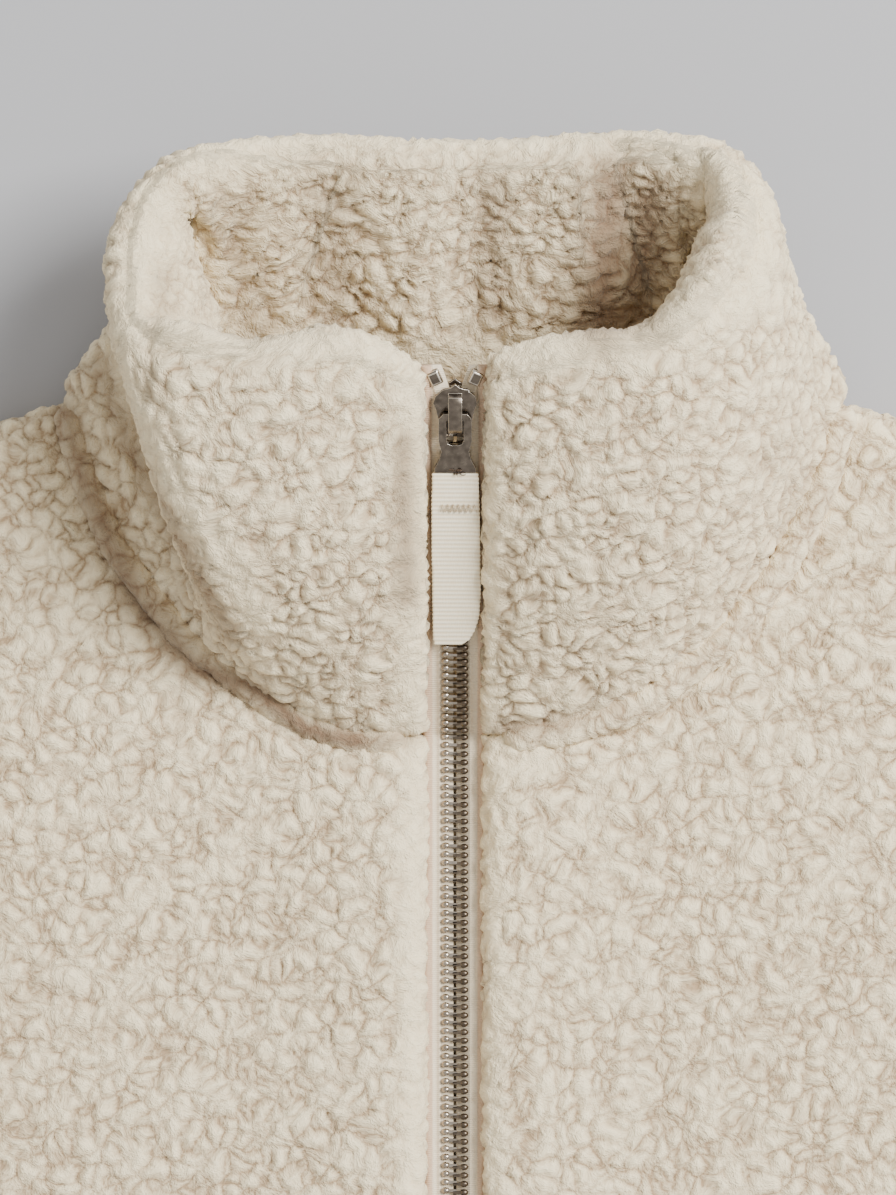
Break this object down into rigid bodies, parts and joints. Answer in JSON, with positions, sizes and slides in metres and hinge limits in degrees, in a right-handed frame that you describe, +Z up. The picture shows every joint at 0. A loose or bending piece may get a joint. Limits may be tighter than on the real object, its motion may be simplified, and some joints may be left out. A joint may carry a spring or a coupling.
{
  "type": "funnel neck sherpa jacket",
  "caption": "Laid flat jacket of curly cream pile with a standing funnel collar, a metal centre front zip closed to the top and a ribbon zip pull that swings",
  "frame": {"origin": "on the ground, under the middle of the whole outline", "axes": "+X to the wearer's left, +Y from hem to neck, +Z up from the back that lies on the ground"},
  "size_m": [1.17, 0.7428, 0.0984],
  "materials": {
    "cream_sherpa_pile": "curly cream wool pile",
    "cream_zip_tape": "woven cream tape",
    "cream_grosgrain": "ribbed cream ribbon",
    "aged_nickel": "aged nickel plating",
    "dark_nickel": "dark nickel plating"
  },
  "bodies": {
    "jacket": {"back_panel": "cream_sherpa_pile", "front_right": "cream_sherpa_pile", "front_left": "cream_sherpa_pile", "sleeve_right": "cream_sherpa_pile", "sleeve_left": "cream_sherpa_pile", "collar": "cream_sherpa_pile", "zip_tape_right": "cream_zip_tape", "zip_tape_left": "cream_zip_tape", "zip_chain": "dark_nickel", "zip_box": "aged_nickel", "top_stop_right": "aged_nickel", "top_stop_left": "aged_nickel", "slider": "aged_nickel"},
    "pull": {"pull_tab": "aged_nickel", "pull_ribbon": "cream_grosgrain"}
  },
  "joints": [
    {"name": "pull_hinge", "type": "hinge", "parent": "jacket", "child": "pull", "pos_m": [0, 0.27781, 0.08058], "axis": [-1, 0, 0], "range_deg": [0, 150]}
  ]
}
